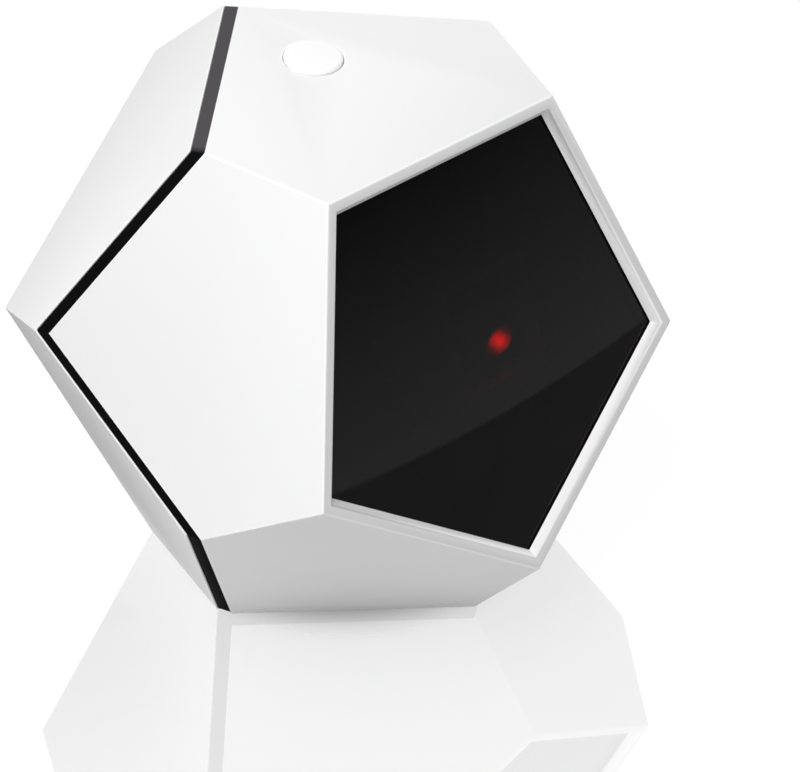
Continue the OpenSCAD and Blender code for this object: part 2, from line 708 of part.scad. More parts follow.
module pan_shaft() {
    color(steel) stand() at_head() translate([0, 0, -pan_dist])
        along_y(shelf_y - 5, pan_gear_y + gear_t + 0.2, shaft_r);
}
module pan_pinion() {
    color(brass) stand() at_head() translate([0, pan_gear_y, -pan_dist]) rotate([-90, 0, 0])
        rotate([0, 0, -90]) pinion(gear_t);
}
module pan_sector() {
    hub_r = 3.6;
    color("ivory") stand() at_head() difference() {
        union() {
            translate([0, pan_gear_y, 0]) rotate([-90, 0, 0]) rotate([0, 0, 90])
                sector(pan_n, 6, hub_r, pin_r, gear_t);
            along_y(shelf_top_y + 0.1, -yoke_half_y, hub_r);
        }
        along_y(shelf_top_y - 1, -yoke_half_y + 1, pin_r);
    }
}
module pan_pins() {
    color(steel) stand() at_head() {
        along_y(shelf_y, -yoke_half_y + yoke_t, pin_r);
        along_y(yoke_half_y - yoke_t, arm_y + arm_t, pin_r);
    }
}
module pan_yoke() {
    inner_x = yoke_half_x - yoke_t;
    inner_y = yoke_half_y - yoke_t;
    cup_r = tilt_motor_r + cup_t;
    color("ivory") stand() at_head() difference() {
        union() {
            box([-yoke_half_x, -yoke_half_y, -yoke_back], [yoke_half_x, yoke_half_y, yoke_front]);
            box([-yoke_half_x, -cup_r, -tilt_dist - cup_r], [-inner_x, cup_r, 0]);
            translate([0, 0, -tilt_dist]) along_x(-yoke_half_x - 5, -inner_x, cup_r);
            along_y(yoke_half_y - 1, arm_y - 0.1, 3);
        }
        box([-inner_x, -inner_y, -yoke_back - 1], [inner_x, inner_y, yoke_front + 1]);
        along_x(-yoke_half_x - 1, yoke_half_x + 1, pin_r + pin_gap);
        along_y(-yoke_half_y - 1, yoke_half_y + 2, pin_r);
        translate([0, 0, -tilt_dist]) {
            along_x(-yoke_half_x - 9, -yoke_half_x, tilt_motor_r);
            along_x(-yoke_half_x - 1, 0, motor_nose_r + 0.1);
        }
    }
}
module tilt_motor() {
    color(steel) stand() at_head() translate([0, 0, -tilt_dist]) difference() {
        union() {
            along_x(-yoke_half_x - tilt_motor_l, -yoke_half_x, tilt_motor_r);
            along_x(-yoke_half_x - 1, -yoke_half_x + yoke_t - 0.3, motor_nose_r);
        }
        along_x(-yoke_half_x - 5, 0, shaft_r + pin_gap);
    }
}
module tilt_shaft() {
    color(steel) stand() at_head() translate([0, 0, -tilt_dist])
        along_x(-yoke_half_x - 4, tilt_gear_x + gear_t + 0.2, shaft_r);
}
module tilt_pinion() {
    color(brass) stand() at_head() translate([tilt_gear_x, 0, -tilt_dist]) rotate([0, 90, 0])
        rotate([0, 0, 180]) pinion(gear_t);
}
module tilt_sector() {
    color("ivory") stand() at_head() translate([tilt_gear_x, 0, 0]) rotate([0, 90, 0])
        sector(tilt_n, 3, 3.2, pin_r, gear_t);
}
module tilt_pins() {
    reach = barrel_d / 2 + 0.6;
    color(steel) stand() at_head() {
        along_x(-yoke_half_x, -reach, pin_r);
        along_x(reach, yoke_half_x, pin_r);
    }
}
module tilt_cradle() {
    reach = barrel_d / 2 + 0.6;
    color("ivory") stand() at_head() difference() {
        union() {
            rotate([aim_down, 0, 0]) translate([0, 0, -cradle_l / 2]) cylinder(h = cradle_l, r = cradle_r);
            along_x(tilt_gear_x + gear_t, yoke_half_x - yoke_t - 0.3, 2.9);
        }
        rotate([aim_down, 0, 0]) translate([0, 0, -10]) cylinder(h = 20, r = barrel_d / 2);
        along_x(-20, -reach, pin_r);
        along_x(reach, 20, pin_r);
    }
}
module laser_barrel() {
    r = barrel_d / 2;
    color(brass) stand() aimed() translate([0, 0, -barrel_l / 2 - 0.5]) difference() {
        cylinder(h = barrel_l, r = r);
        translate([0, 0, barrel_l - 1.6]) cylinder(h = 2, r = r - 1);
        translate([0, 0, barrel_l - 4]) cylinder(h = 5, r = 1.6);
    }
}
module laser_lens() {
    r = barrel_d / 2 - 1;
    color("red") stand() aimed() translate([0, 0, barrel_l / 2 - 2.1]) rotate_extrude()
        polygon(concat([[0, 0], [r, 0]], [for (a = [0:15:90]) [r * cos(a), 0.6 + lens_dome * sin(a)]]));
}
module laser_board() {
    color(board_green) stand() aimed()
        box([-3, -3.4, -barrel_l / 2 - 1.7], [3, 3.4, -barrel_l / 2 - 0.5]);
}

// ---- leads ---------------------------------------------------------------------------------

module battery_leads() {
    tab_x = bay_half_x - contact_t / 2;
    tab_z = tray_back_z + 2;
    color("firebrick") stand() for (s = [-1, 1]) {
        x = plug_x[0] + s * 1.2;
        lead([[s * tab_x, tab_y, tab_z], [s * tab_x, tab_y, tab_z + 1.5],
            [x, lead_slot_y, plate_z - lead_under_plate], [x, lead_slot_y, board_face_z + plug_h / 2],
            [x, plug_y, board_face_z + plug_h / 2]]);
    }
}
module button_leads() {
    // lower face of the button's board, seen in the case's axes
    start_y = top_y_at_button + (button_board_z - board_t) * cos(front_slope);
    start_z = -button_back + (button_board_z - board_t) * sin(front_slope);
    color("gray") stand() for (s = [-1, 1]) {
        x = plug_x[2] + s * 1.2;
        lead([[x, start_y, start_z], [x, start_y - 2, start_z - 0.9],
            [x, plug_top_y + 1.5, board_face_z + plug_h / 2], [x, plug_top_y, board_face_z + plug_h / 2]]);
    }
}
module motor_leads() {
    tail_y = -head_drop + shelf_y - pan_motor_l - 1.5;
    tail_z = -head_back - pan_dist;
    color("navy") stand() for (s = [-1, 1]) {
        x = -10 + s * 1.2;
        z = plate_front_z + 1.2;
        tail_x = head_x + s * motor_tail_x;
        lead([[tail_x, tail_y, tail_z], [tail_x, tail_y - 1.2, tail_z], [x, -30, z], [x, 14, z],
            [plug_x[1] + s * 1.2, plug_y - 2, board_face_z + plug_h / 2],
            [plug_x[1] + s * 1.2, plug_y, board_face_z + plug_h / 2]]);
    }
}

front_shell();
rear_shell();
mid_ring();
window();
window_tape();
button_cap();
switch_plunger();
tact_switch();
button_board();
button_board_screws();
battery_door();
battery_tray();
tray_screws();
cell_upper();
cell_middle();
cell_lower();
cell_springs();
cell_contacts();
mechanism_plate();
plate_screws();
gimbal_base();
gimbal_base_screws();
gimbal_top_arm();
pan_motor();
pan_motor_screws();
pan_shaft();
pan_pinion();
pan_yoke();
pan_pins();
pan_sector();
tilt_motor();
tilt_shaft();
tilt_pinion();
tilt_cradle();
tilt_pins();
tilt_sector();
laser_barrel();
laser_lens();
laser_board();
main_board();
controller_chip();
board_plugs();
main_board_screws();
case_screws();
battery_leads();
button_leads();
motor_leads();
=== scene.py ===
"""Looks of the automatic laser toy: a faceted white ball with a smoked window, standing on its
lower rear face. Everything is in metres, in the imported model's frame.

Most shapes are worked out in the toy's own axes, in millimetres: x right, y up, z out through the
window, with the origin in the middle of the window face. stand() carries them to the frame."""

import json
import math

import bmesh
import bpy
import numpy as np
from mathutils import Matrix, Vector


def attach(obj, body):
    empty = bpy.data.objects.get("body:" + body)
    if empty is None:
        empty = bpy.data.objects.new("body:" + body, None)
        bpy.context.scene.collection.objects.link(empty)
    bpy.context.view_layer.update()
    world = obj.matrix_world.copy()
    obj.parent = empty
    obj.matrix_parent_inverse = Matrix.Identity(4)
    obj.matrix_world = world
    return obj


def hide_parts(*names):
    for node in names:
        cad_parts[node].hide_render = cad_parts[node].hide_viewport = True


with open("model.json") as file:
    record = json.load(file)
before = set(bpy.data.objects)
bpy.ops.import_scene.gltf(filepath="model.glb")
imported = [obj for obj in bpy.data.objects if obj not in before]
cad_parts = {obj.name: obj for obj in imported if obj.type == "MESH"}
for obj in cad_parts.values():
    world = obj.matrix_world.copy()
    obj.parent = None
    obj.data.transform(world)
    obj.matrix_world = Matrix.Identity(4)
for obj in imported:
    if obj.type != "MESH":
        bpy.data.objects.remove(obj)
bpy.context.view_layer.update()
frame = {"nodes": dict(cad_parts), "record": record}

# ---- Case: front and rear shell ---------------------------------------------------------------
# Two injection-moulded halves in glossy white ABS, held together by four screws from the back.
# Each ridge has the small radius that a mould leaves, and its rounded faces are painted whiter, a painted
# highlight, with a glossier finish as well. The inner edge of the window's rim is a little softer and stays
# plain.

front_r, front_slope = 44.0, math.radians(24.8)     # corner radius of the front pentagon, lean of its sides
back_r, back_slope = 47.6, math.radians(18.5)       # the same for the back pentagon
body_depth, band_w = 77.4, 4.0
cos36 = math.cos(math.radians(36))
stand_h = back_r * cos36 * math.cos(back_slope) + body_depth * math.sin(back_slope)
middle_y = (front_r * math.sin(back_slope)
            - back_r * math.sin(back_slope) - body_depth * math.cos(back_slope)) / 2
ridge_soft, rim_soft, hole_soft = 0.25, 0.3, 0.25   # radii of the rounded edges


def stand(p):
    """The toy's own axes in mm to the frame in m: a turn about x that sets the lower rear face
    level, then a lift to the floor."""
    x, y, z = np.moveaxis(np.asarray(p, float), -1, 0)
    s, c = math.sin(back_slope), math.cos(back_slope)
    return np.stack([x, y * s - z * c + middle_y, y * c + z * s + stand_h], axis=-1) / 1000


def unstand(q):
    """The frame in m back to the toy's own axes in mm."""
    x, y, z = np.moveaxis(np.asarray(q, float) * 1000, -1, 0)
    s, c = math.sin(back_slope), math.cos(back_slope)
    y, z = y - middle_y, z - stand_h
    return np.stack([x, y * s + z * c, z * s - y * c], axis=-1)


def outer_depth(p):
    """How far a point in the toy's own axes lies from the outer skin, in mm: the least of its
    distances to the five front planes, the five rear planes and the two flats. Each set of planes
    is taken twice, in its place and moved by the waist band's width, as the band parts the shells."""
    rho_back = back_r * cos36 + (body_depth - band_w) * math.tan(back_slope)
    up = np.radians(90 + 72 * np.arange(5))
    along_front = p[..., :1] * np.cos(up) + p[..., 1:2] * np.sin(up)
    along_back = p[..., :1] * np.cos(-up) + p[..., 1:2] * np.sin(-up)
    z = p[..., 2:3]
    depths = []
    for step in (0.0, band_w):
        front = (front_r * cos36 - (z + step) * math.tan(front_slope) - along_front) * math.cos(front_slope)
        back = (rho_back + (z + step) * math.tan(back_slope) - along_back) * math.cos(back_slope)
        depths.append(np.min(np.abs(np.concatenate([front, back], axis=-1)), axis=-1))
    flats = np.minimum(np.abs(p[..., 2]), np.abs(p[..., 2] + body_depth))
    return np.minimum(np.minimum(*depths), flats)


def rounded_copy(node, name, radius_of, segments=4):
    """A welded copy of a CAD node in which each sharp edge is rounded by radius_of(its middle in
    the toy's own axes) mm. An edge with the radius 0 stays sharp."""
    weld, flat_within, sharp_above = 2e-6, math.radians(0.4), math.radians(20)
    mesh = frame["nodes"][node].data.copy()
    mesh.name = name
    bm = bmesh.new()
    bm.from_mesh(mesh)
    bmesh.ops.remove_doubles(bm, verts=bm.verts, dist=weld)
    bmesh.ops.dissolve_limit(bm, angle_limit=flat_within, verts=bm.verts, edges=bm.edges)
    weight = bm.edges.layers.float.new("bevel_weight_edge")
    sharp = [e for e in bm.edges if len(e.link_faces) == 2 and e.calc_face_angle(0) > sharp_above]
    radii = radius_of(unstand(np.array([(e.verts[0].co + e.verts[1].co) / 2 for e in sharp])))
    widest = float(radii.max())
    for f in bm.faces:
        f.smooth = True
    for e, r in zip(sharp, radii):
        e[weight] = r / widest
        e.smooth = r > 0
    bm.to_mesh(mesh)
    bm.free()
    mesh.materials.clear()
    piece = bpy.data.objects.new(name, mesh)
    bpy.context.collection.objects.link(piece)
    bevel = piece.modifiers.new("rounding", "BEVEL")
    bevel.limit_method = "WEIGHT"
    bevel.width = widest / 1000
    bevel.segments = segments
    bevel.use_clamp_overlap = False
    bevel.harden_normals = True
    bevel.miter_outer = "MITER_SHARP"
    return piece


# Places of the colour sockets on Blender's Mix node
colour_a, colour_b, colour_out = 6, 7, 2


def ramp_node(nodes, start, stop, low=0.0, high=1.0, shape="LINEAR"):
    """A node that carries the range from start to stop over to the range from low to high."""
    ramp = nodes.new("ShaderNodeMapRange")
    ramp.interpolation_type = shape
    for socket, value in (("From Min", start), ("From Max", stop), ("To Min", low), ("To Max", high)):
        ramp.inputs[socket].default_value = value
    return ramp


def moulded(name, tone, shade, grain_mm, roughness, bump_mm, **sockets):
    """Moulded plastic: a soft cloud of two close tones, a roughness that wanders a little, and a
    fine surface grain. sockets are uniform values set on the shader itself."""
    cloud_scale, cloud_detail, grain_detail, bump_strength = 45, 3, 2, 0.5
    mat = bpy.data.materials.new(name)
    mat.use_nodes = True
    nodes, links = mat.node_tree.nodes, mat.node_tree.links
    shader = nodes["Principled BSDF"]
    place = nodes.new("ShaderNodeTexCoord")
    place.name = "place"
    cloud = nodes.new("ShaderNodeTexNoise")
    cloud.inputs["Scale"].default_value = cloud_scale
    cloud.inputs["Detail"].default_value = cloud_detail
    grain = nodes.new("ShaderNodeTexNoise")
    grain.inputs["Scale"].default_value = 1000 / grain_mm
    grain.inputs["Detail"].default_value = grain_detail
    blend = nodes.new("ShaderNodeMix")
    blend.data_type = "RGBA"
    blend.inputs[colour_a].default_value = (*tone, 1)
    blend.inputs[colour_b].default_value = (*shade, 1)
    wander = ramp_node(nodes, 0.0, 1.0, *roughness)
    bump = nodes.new("ShaderNodeBump")
    bump.inputs["Strength"].default_value = bump_strength
    bump.inputs["Distance"].default_value = bump_mm / 1000
    links.new(place.outputs["Object"], cloud.inputs["Vector"])
    links.new(place.outputs["Object"], grain.inputs["Vector"])
    links.new(cloud.outputs["Fac"], blend.inputs["Factor"])
    links.new(blend.outputs[colour_out], shader.inputs["Base Color"])
    links.new(cloud.outputs["Fac"], wander.inputs["Value"])
    links.new(wander.outputs["Result"], shader.inputs["Roughness"])
    links.new(grain.outputs["Fac"], bump.inputs["Height"])
    links.new(bump.outputs["Normal"], shader.inputs["Normal"])
    for socket, value in sockets.items():
        shader.inputs[socket.replace("_", " ")].default_value = value
    return mat


def shell_radius(middle):
    """Edge radii of a shell in mm: its outer ridges and parting edges, then the inner edge of the
    window's rim, then holes and pockets in the back. Edges inside the shell stay sharp."""
    skin_depth, flat_depth, rim_margin, back_margin = 0.06, 0.1, 0.3, 0.4
    r = np.hypot(middle[:, 0], middle[:, 1])
    z = middle[:, 2]
    out = np.where(outer_depth(middle) < skin_depth, ridge_soft, 0.0)
    out = np.where((z > -flat_depth) & (r <= front_r * cos36 - rim_margin), rim_soft, out)
    return np.where((z < -body_depth + flat_depth) & (r < back_r * cos36 - back_margin), hole_soft, out)


def inside_front(p):
    """How far inside the front pentagon's outline a point lies, in mm, seen along the axis."""
    up = np.radians(90 + 72 * np.arange(5))
    along = p[:, :1] * np.cos(up) + p[:, 1:2] * np.sin(up)
    return front_r * cos36 - np.max(along, axis=-1)


def paint_ridge_highlight(piece, plain, ridge_highlight):
    """Applies a piece's rounding and gives the rounded faces the ridge material, whiter and glossier than the
    flat faces:
    a painted highlight along the ridges. Those on the inner side of the window's rim stay plain, as the flat
    faces are."""
    rim_depth, ridge_width = 2.5, 0.6
    piece.data.materials.append(plain)
    piece.data.materials.append(ridge_highlight)
    piece.modifiers["rounding"].material = 1
    graph = bpy.context.evaluated_depsgraph_get()
    mesh = bpy.data.meshes.new_from_object(piece.evaluated_get(graph))
    piece.modifiers.clear()
    piece.data = mesh
    middles = np.empty(3 * len(mesh.polygons))
    slots = np.empty(len(mesh.polygons), np.int32)
    mesh.polygons.foreach_get("center", middles)
    mesh.polygons.foreach_get("material_index", slots)
    middles = unstand(middles.reshape(-1, 3))
    slots[(middles[:, 2] > -rim_depth) & (inside_front(middles) > ridge_width)] = 0
    mesh.polygons.foreach_set("material_index", slots)


white_shell = moulded("white_shell", tone=(0.875, 0.875, 0.878), shade=(0.86, 0.86, 0.865), grain_mm=0.9,
                      roughness=(0.42, 0.5), bump_mm=0.004, Specular_IOR_Level=0.35)
# Ridge material: whiter than the shell, a painted highlight along the ridges, and glossier, a real gloss.
painted_highlight_white = moulded("painted_highlight_white", tone=(0.97, 0.97, 0.97), shade=(0.95, 0.95, 0.955), grain_mm=0.9,
                      roughness=(0.16, 0.22), bump_mm=0.002, Specular_IOR_Level=0.9)
for half in ("front", "rear"):
    skin = rounded_copy(f"{half}_shell", f"{half}_skin", shell_radius)
    paint_ridge_highlight(skin, white_shell, painted_highlight_white)
    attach(skin, "case")
    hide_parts(f"{half}_shell")

# ---- Waist band ---------------------------------------------------------------------------------
# A ring of black ABS clamped between the shells, with a lip inside each. Only its flat outer
# strip shows, just below the shells' edges. Its two top lengths are painted lighter: a painted sheen where
# they face the light from above.

ring_corner_y, sheen_fade, band_soft = 45.3, 0.25, 0.15
painted_sheen_tone = (0.082, 0.076, 0.083)


def evenly(radius):
    """The same radius for every edge, in the form that rounded_copy asks for."""
    return lambda middles: np.full(len(middles), radius)


def laid_over(mat, share, tone):
    """Lays a second tone over a material's colour. share is the socket that says how much of it
    shows."""
    nodes, links = mat.node_tree.nodes, mat.node_tree.links
    colour = nodes["Principled BSDF"].inputs["Base Color"]
    mix = nodes.new("ShaderNodeMix")
    mix.data_type = "RGBA"
    mix.inputs[colour_b].default_value = (*tone, 1)
    links.new(share, mix.inputs["Factor"])
    links.new(colour.links[0].from_socket, mix.inputs[colour_a])
    links.new(mix.outputs[colour_out], colour)


def lighter_above(mat, height, fade, tone):
    """Lays a tone over a material above a height in the toy's own axes: the height is the dot
    product of the place with the toy's up direction, passed through a ramp of fade mm each way."""
    nodes, links = mat.node_tree.nodes, mat.node_tree.links
    s, c = math.sin(back_slope), math.cos(back_slope)
    middle_at = (middle_y * s + stand_h * c) / 1000
    up = nodes.new("ShaderNodeVectorMath")
    up.operation = "DOT_PRODUCT"
    up.inputs[1].default_value = (0, s, c)
    ramp = ramp_node(nodes, middle_at + (height - fade) / 1000, middle_at + (height + fade) / 1000)
    links.new(nodes["place"].outputs["Object"], up.inputs[0])
    links.new(up.outputs["Value"], ramp.inputs["Value"])
    laid_over(mat, ramp.outputs["Result"], tone)


band_black = moulded("band_black", tone=(0.0035, 0.0035, 0.004), shade=(0.005, 0.005, 0.0055), grain_mm=0.6,
                     roughness=(0.62, 0.72), bump_mm=0.004, Specular_IOR_Level=0.006)
# Paints the band's top lengths lighter: a painted sheen of the light from above, not a colour of the plastic.
lighter_above(band_black, ring_corner_y, sheen_fade, painted_sheen_tone)
band = rounded_copy("mid_ring", "waist_band", evenly(band_soft), segments=2)
band.data.materials.append(band_black)
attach(band, "case")
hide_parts("mid_ring")

# ---- Window -------------------------------------------------------------------------------------
# A pentagon of smoked acrylic, cut with small corner radii and polished, taped behind the rim.
# It looks black from outside and lets only the laser's red light show.

window_r, window_face, window_t = 42.1, -2.0, 2.0
window_corner, window_edge = 1.2, 0.35


def smoothed_pentagon(r, corner, steps=8):
    """Outline of a pentagon of corner radius r whose corners are arcs of radius corner: for each
    corner an arc of 72 degrees about a centre corner/cos36 short of the corner."""
    middle = np.radians(-90 + 72 * np.arange(5))
    turn = np.radians(np.linspace(-36, 36, steps))
    centre = (r - corner / cos36) * np.stack([np.cos(middle), np.sin(middle)], axis=-1)
    a = middle[:, None] + turn
    return (centre[:, None] + corner * np.stack([np.cos(a), np.sin(a)], axis=-1)).reshape(-1, 2)


def grid_mesh(name, grid, closed_rows=False):
    """A mesh from a grid of points in the toy's own axes: rows follow a profile, columns go round.
    Neighbouring points make smooth quads. Either the last row meets the first one, or the first
    and the last row are each closed by one flat face."""
    crease = math.radians(35)
    rows, cols = grid.shape[:2]
    i, j = np.meshgrid(np.arange(rows if closed_rows else rows - 1), np.arange(cols), indexing="ij")
    i, j = i.ravel(), j.ravel()
    up, on = (i + 1) % rows, (j + 1) % cols
    faces = np.stack([i * cols + j, i * cols + on, up * cols + on, up * cols + j], axis=-1).tolist()
    if not closed_rows:
        faces += [list(range(cols - 1, -1, -1)), list(range((rows - 1) * cols, rows * cols))]
    mesh = bpy.data.meshes.new(name)
    mesh.from_pydata(stand(grid).reshape(-1, 3).tolist(), [], faces)
    bm = bmesh.new()
    bm.from_mesh(mesh)
    bmesh.ops.recalc_face_normals(bm, faces=bm.faces)
    for f in bm.faces:
        f.smooth = len(f.verts) == 4
    for e in bm.edges:
        e.smooth = e.calc_face_angle(0) < crease
    bm.to_mesh(mesh)
    bm.free()
    piece = bpy.data.objects.new(name, mesh)
    bpy.context.collection.objects.link(piece)
    return piece


def polished_sheet():
    """The window's surface: the pentagon's outline, drawn in by window_edge x (1 - sin a) while it
    climbs by window_edge x (1 - cos a) from the back face, and the same mirrored at the front."""
    a = np.radians(np.linspace(0, 90, 6))
    drawn_in, climb = window_edge * (1 - np.sin(a)), window_edge * (1 - np.cos(a))
    drawn_in = np.concatenate([drawn_in, drawn_in[::-1]])
    heights = np.concatenate([climb, window_t - climb[::-1]]) + window_face - window_t
    outlines = [smoothed_pentagon(window_r - d / cos36, window_corner) for d in drawn_in]
    return np.array([np.column_stack([xy, np.full(len(xy), z)]) for xy, z in zip(outlines, heights)])


window = grid_mesh("smoked_window", polished_sheet())
smoked = moulded("smoked_window", tone=(0.002, 0.0018, 0.0022), shade=(0.003, 0.0026, 0.0033), grain_mm=4.0,
                 roughness=(0.02, 0.035), bump_mm=0.001, Alpha=0.8, Specular_IOR_Level=0.3)
window.data.materials.append(smoked)
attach(window, "case")
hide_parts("window")

# ---- Window tape --------------------------------------------------------------------------------
# A thin frame of black foam tape that holds the window against the lip of the front shell. It is
# die-cut to the window's outline and hidden behind the rim.


def finish(mat, *nodes):
    """Gives CAD nodes that keep their shape the finish of their material."""
    for node in nodes:
        frame["nodes"][node].data.materials.clear()
        frame["nodes"][node].data.materials.append(mat)


tape_black = moulded("tape_black", tone=(0.02, 0.02, 0.02), shade=(0.035, 0.035, 0.035), grain_mm=0.3,
                     roughness=(0.8, 0.95), bump_mm=0.03)
finish(tape_black, "window_tape")

# ---- Button -------------------------------------------------------------------------------------
# One push button of glossy white ABS in the top face, with a slightly domed crown and a flange
# that keeps it in. It is guided by its hole in the shell and springs back on the switch below.

button_r, button_rise, button_back, wall = 5.25, 0.6, 30.0, 2.4
button_room, switch_h, plunger_h = 8.0, 3.4, 0.8        # depth below the shell, and what stands in it
fillet, dome_rise, chamfer = 0.5, 0.12, 0.1
stem_r, stem_foot = 1.6, -wall - button_room + switch_h + plunger_h
flange_r, flange_top, flange_t = button_r + 1.4, -wall - 0.1, 1.0
pole_r = 0.05       # a turned profile starts and ends this far from its axis, where a flat face closes it


def at_button(p):
    """Axes of the button, z along the top face's outward normal, to the toy's own axes."""
    x, y, z = np.moveaxis(np.asarray(p, float), -1, 0)
    s, c = math.sin(front_slope), math.cos(front_slope)
    top_y = front_r * cos36 + button_back * math.tan(front_slope)
    return np.stack([x, top_y + y * s + z * c, -button_back - y * c + z * s], axis=-1)


def revolved(profile, steps=64):
    """A grid of points from a profile of (radius, height) turned about z."""
    a = np.linspace(0, 2 * np.pi, steps, endpoint=False)
    r, h = np.asarray(profile, float).T[:, :, None]
    return np.stack([r * np.cos(a), r * np.sin(a), np.repeat(h, steps, axis=1)], axis=-1)


def button_profile():
    """The stem and the flange in straight runs, then the crown: a quarter circle of the fillet's
    radius, and a dome that falls off with the square of the distance from the middle."""
    crown_r, crown_h = button_r - fillet, button_rise - dome_rise
    stem = [(pole_r, stem_foot), (stem_r - chamfer, stem_foot), (stem_r, stem_foot + chamfer),
            (stem_r, flange_top - flange_t)]
    flange = [(flange_r - chamfer, flange_top - flange_t), (flange_r, flange_top - flange_t + chamfer),
              (flange_r, flange_top - chamfer), (flange_r - chamfer, flange_top), (button_r, flange_top)]
    side = [(button_r, chamfer - fillet)]
    edge = [(crown_r + fillet * math.cos(a), crown_h - fillet + fillet * math.sin(a))
            for a in np.radians(np.linspace(0, 90, 8))]
    dome = [(crown_r * (1 - t), button_rise - dome_rise * (1 - t) ** 2) for t in np.linspace(0.1, 0.98, 8)]
    return stem + flange + side + edge + dome


button = grid_mesh("button_top", at_button(revolved(button_profile())))
button_white = moulded("button_white", tone=(0.95, 0.95, 0.955), shade=(0.93, 0.93, 0.94), grain_mm=0.9,
                       roughness=(0.3, 0.36), bump_mm=0.003)
button.data.materials.append(button_white)
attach(button, "button")
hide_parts("button_cap")

# ---- Battery door -------------------------------------------------------------------------------
# A flat cover in the same white ABS, flush with the back face. It turns on two stub pins at its
# lower edge and snaps shut at the top, where a scoop and four ribs give the finger a hold.

door_soft, door_shown = 0.22, 0.55      # radius of its outer edges, and how deep they lie at most


def door_radius(middle):
    """Edge radii of the door in mm: only the edges near the back face are rounded."""
    return np.where(middle[:, 2] < -body_depth + door_shown, door_soft, 0.0)


door = rounded_copy("battery_door", "battery_cover", door_radius, segments=3)
door.data.materials.append(white_shell)
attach(door, "door")
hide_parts("battery_door")

# ---- Battery tray -------------------------------------------------------------------------------
# A deep tray of white ABS, screwed to four posts of the rear shell. Strips of nickel-plated steel
# at its two ends join the cells, and their tabs come out through its floor.

body_of = {node: body for body, held in frame["record"]["behaviour"]["bodies"].items() for node in held}


def stand_for(piece, mat, node):
    """Puts a new piece in a CAD node's stead: with its body and a finish of its own."""
    piece.data.materials.append(mat)
    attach(piece, body_of[node])
    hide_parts(node)


def broken_edges(mat, radius, *nodes):
    """Puts copies in the stead of CAD nodes, with every sharp edge rounded by radius mm, as a
    mould or a tumbler leaves it."""
    for node in nodes:
        part = rounded_copy(node, f"{node}_part", evenly(radius), segments=2)
        part.modifiers["rounding"].harden_normals = False
        flat = part.modifiers.new("flat_faces", "WEIGHTED_NORMAL")
        flat.weight = 100
        flat.keep_sharp = True
        stand_for(part, mat, node)


def metal(name, tone, shade, roughness, scratch_mm):
    """Drawn or plated metal: the noise that drives the tone, the roughness and a slight bump is
    squeezed along z, so that it lies in fine level lines."""
    mat = moulded(name, tone, shade, scratch_mm, roughness, bump_mm=0.002, Metallic=1.0)
    nodes, links = mat.node_tree.nodes, mat.node_tree.links
    squeeze = nodes.new("ShaderNodeMapping")
    squeeze.inputs["Scale"].default_value = (1, 1, 9)
    links.new(nodes["place"].outputs["Object"], squeeze.inputs["Vector"])
    for n in [n for n in nodes if n.type == "TEX_NOISE"]:
        links.new(squeeze.outputs["Vector"], n.inputs["Vector"])
    return mat


tray_white = moulded("tray_white", tone=(0.72, 0.72, 0.72), shade=(0.68, 0.68, 0.685), grain_mm=0.25,
                     roughness=(0.45, 0.55), bump_mm=0.01)
steel = metal("steel", tone=(0.62, 0.62, 0.63), shade=(0.52, 0.52, 0.54), roughness=(0.25, 0.4),
              scratch_mm=0.12)
broken_edges(tray_white, 0.2, "battery_tray")
finish(steel, "cell_contacts", "tray_screws", "case_screws")

# ---- Cells --------------------------------------------------------------------------------------
# Three AA cells side by side, the middle one the other way round. Each is a drawn steel can with a
# raised cap at one end, in a printed sleeve that is shrunk a little way over both shoulders.

cell_l, cell_pitch, bay_drop, cell_axis_z, cap_end = 50.5, 15.0, 1.2, -67.55, 27.25
can_r, can_top, cap_r, sleeve_r = 7.1, 49.5, 2.75, 7.25
can_profile = [(pole_r, 0.2), (5.1, 0.2), (5.4, 0.0), (6.3, 0.0), (can_r - 0.3, 0.2), (can_r, 0.7),
               (can_r, can_top - 0.8), (can_r - 0.2, can_top - 0.3), (can_r - 0.7, can_top), (5.6, can_top),
               (5.4, can_top - 0.2), (cap_r + 0.35, can_top - 0.2), (cap_r, can_top - 0.1),
               (cap_r, cell_l - 0.3), (cap_r - 0.1, cell_l - 0.1), (cap_r - 0.35, cell_l), (pole_r, cell_l)]
sleeve_outside = [(6.6, 0.02), (6.95, 0.2), (sleeve_r - 0.05, 0.5), (sleeve_r, 0.8), (sleeve_r, 48.6),
                  (sleeve_r - 0.05, 48.95), (6.95, 49.35), (6.55, 49.58)]
sleeve_inside = [(6.5, 49.5), (6.9, 49.2), (7.12, 48.7), (7.12, 0.7), (6.85, 0.24), (6.6, 0.1)]
sleeve_tone, sleeve_shade, print_tone = (0.03, 0.05, 0.085), (0.04, 0.06, 0.1), (0.5, 0.52, 0.54)
ring_from, ring_to, band_from = 0.62, 0.64, 0.67        # shares of the cell's length, from its foot


def at_cell(p, row, way):
    """Axes of a cell, z from its foot to its cap, to the toy's own axes: row -1, 0 or 1 is its
    place in the tray, and way is the side that its cap is on."""
    x, y, z = np.moveaxis(np.asarray(p, float), -1, 0)
    return np.stack([way * (cap_end - cell_l + z), row * cell_pitch - bay_drop + x, cell_axis_z + y], axis=-1)


